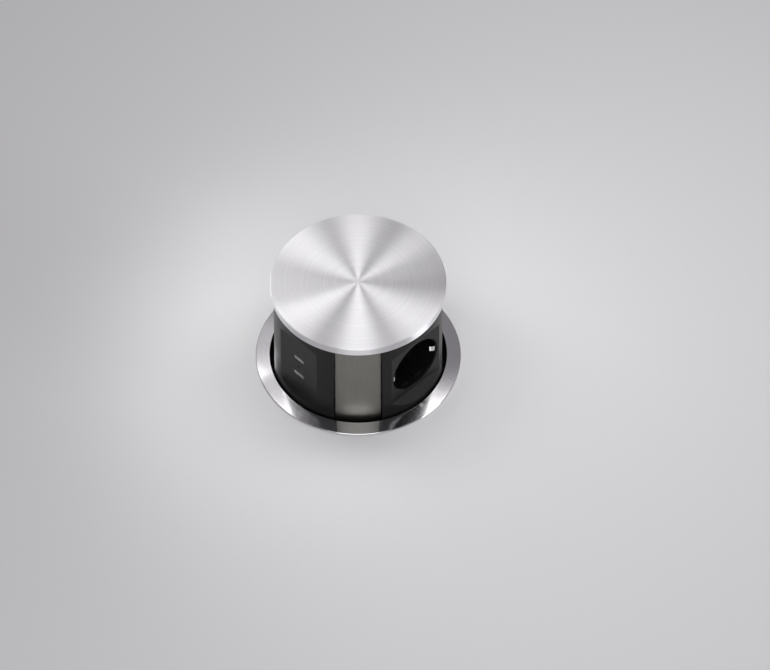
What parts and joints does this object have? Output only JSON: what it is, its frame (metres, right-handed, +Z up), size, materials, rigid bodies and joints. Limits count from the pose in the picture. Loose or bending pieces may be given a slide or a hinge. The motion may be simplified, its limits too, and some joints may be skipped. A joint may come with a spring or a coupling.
{
  "type": "pop up desk socket",
  "caption": "Round pop up desk socket: a sprung tower with earthed mains sockets and USB-C ports rises from a brushed steel ring and locks flush under its cap.",
  "frame": {"origin": "on the tower's axis, in the plane of the desk's top surface", "axes": "+Z up along the tower's travel, -Y towards the USB panel, +X towards the right socket"},
  "size_m": [0.143, 0.143, 0.1995],
  "materials": {
    "brushed_steel": "concentric brushed",
    "zinc_steel": "zinc plated",
    "grey_aluminium": "satin anodised",
    "anthracite_plastic": "fine textured",
    "black_plastic": "moulded",
    "black_rubber": "matt",
    "cream_plastic": "moulded",
    "nickel": "nickel plated",
    "copper_alloy": "plain",
    "board_green": "solder mask",
    "dark_lens": "smoked"
  },
  "bodies": {
    "housing": {"trim_ring": "brushed_steel", "desk_gasket": "black_rubber", "housing_sleeve": "black_plastic", "guide_collar": "black_plastic", "collar_screws": "zinc_steel", "base_cover": "black_plastic", "base_screws": "zinc_steel", "spring_post": "zinc_steel", "lift_spring": "zinc_steel", "gland_body": "black_plastic", "gland_nut": "black_plastic", "gland_seal": "black_rubber", "gland_locknut": "black_plastic", "damper_rack": "cream_plastic", "latch_bracket": "zinc_steel", "latch_pin": "zinc_steel"},
    "tower": {"cap_plate": "brushed_steel", "cap_carrier": "black_plastic", "carrier_screws": "zinc_steel", "tower_chassis": "black_plastic", "chassis_screws": "zinc_steel", "column_front": "grey_aluminium", "column_right": "grey_aluminium", "column_rear": "grey_aluminium", "column_left": "grey_aluminium", "usb_panel": "anthracite_plastic", "usb_ports": "nickel", "usb_tongues": "cream_plastic", "usb_board": "board_green", "usb_converter": "black_plastic", "usb_light": "dark_lens", "live_bar": "copper_alloy", "neutral_bar": "copper_alloy", "earth_bar": "copper_alloy", "terminal_block": "cream_plastic", "terminal_screws": "copper_alloy", "damper_body": "black_plastic", "latch_striker": "zinc_steel", "socket_panel_right": "anthracite_plastic", "contact_carrier_right": "cream_plastic", "contact_tubes_right": "copper_alloy", "earth_clip_right": "nickel", "socket_panel_rear": "anthracite_plastic", "contact_carrier_rear": "cream_plastic", "contact_tubes_rear": "copper_alloy", "earth_clip_rear": "nickel", "socket_panel_left": "anthracite_plastic", "contact_carrier_left": "cream_plastic", "contact_tubes_left": "copper_alloy", "earth_clip_left": "nickel"},
    "latch_hook": {"latch_hook": "cream_plastic"},
    "clamp_washer": {"clamp_washer": "zinc_steel"},
    "locknut": {"locknut": "black_plastic"},
    "damper_pinion": {"damper_pinion": "cream_plastic"},
    "shutter_right": {"shutter_right": "black_plastic"},
    "shutter_rear": {"shutter_rear": "black_plastic"},
    "shutter_left": {"shutter_left": "black_plastic"}
  },
  "joints": [
    {"name": "tower_slide", "type": "slide", "parent": "housing", "child": "tower", "axis": [0, 0, 1], "range_m": [-0.0751, 0], "stiffness_N_per_m": 120, "springref_m": 0.1, "deforming": ["lift_spring"]},
    {"name": "damper_spin", "type": "hinge", "parent": "tower", "child": "damper_pinion", "pos_m": [-0.03567, 0.03567, -0.0218], "axis": [-0.7071, -0.7071, 0], "range_deg": [-900, 0]},
    {"name": "latch_swing", "type": "hinge", "parent": "housing", "child": "latch_hook", "pos_m": [0, -0.048, -0.099], "axis": [-1, 0, 0], "range_deg": [0, 20], "stiffness_Nm_per_rad": 0.02, "springref_deg": -5.73},
    {"name": "clamp_slide", "type": "slide", "parent": "housing", "child": "clamp_washer", "axis": [0, 0, 1], "range_m": [-0.018, 0.018]},
    {"name": "locknut_turn", "type": "hinge", "parent": "clamp_washer", "child": "locknut", "pos_m": [0, 0, -0.037], "axis": [0, 0, 1], "range_deg": [-1085, 1085]},
    {"name": "shutter_slide_right", "type": "slide", "parent": "tower", "child": "shutter_right", "axis": [0, 1, 0], "range_m": [0, 0.0065], "stiffness_N_per_m": 100, "springref_m": -0.002},
    {"name": "shutter_slide_rear", "type": "slide", "parent": "tower", "child": "shutter_rear", "axis": [-1, 0, 0], "range_m": [0, 0.0065], "stiffness_N_per_m": 100, "springref_m": -0.002},
    {"name": "shutter_slide_left", "type": "slide", "parent": "tower", "child": "shutter_left", "axis": [0, -1, 0], "range_m": [0, 0.0065], "stiffness_N_per_m": 100, "springref_m": -0.002}
  ],
  "couplings": [
    {"joint": "damper_spin", "follows": "tower_slide", "rad_per_m": 208.33},
    {"joint": "locknut_turn", "follows": "clamp_slide", "rad_per_m": 1047.2}
  ]
}
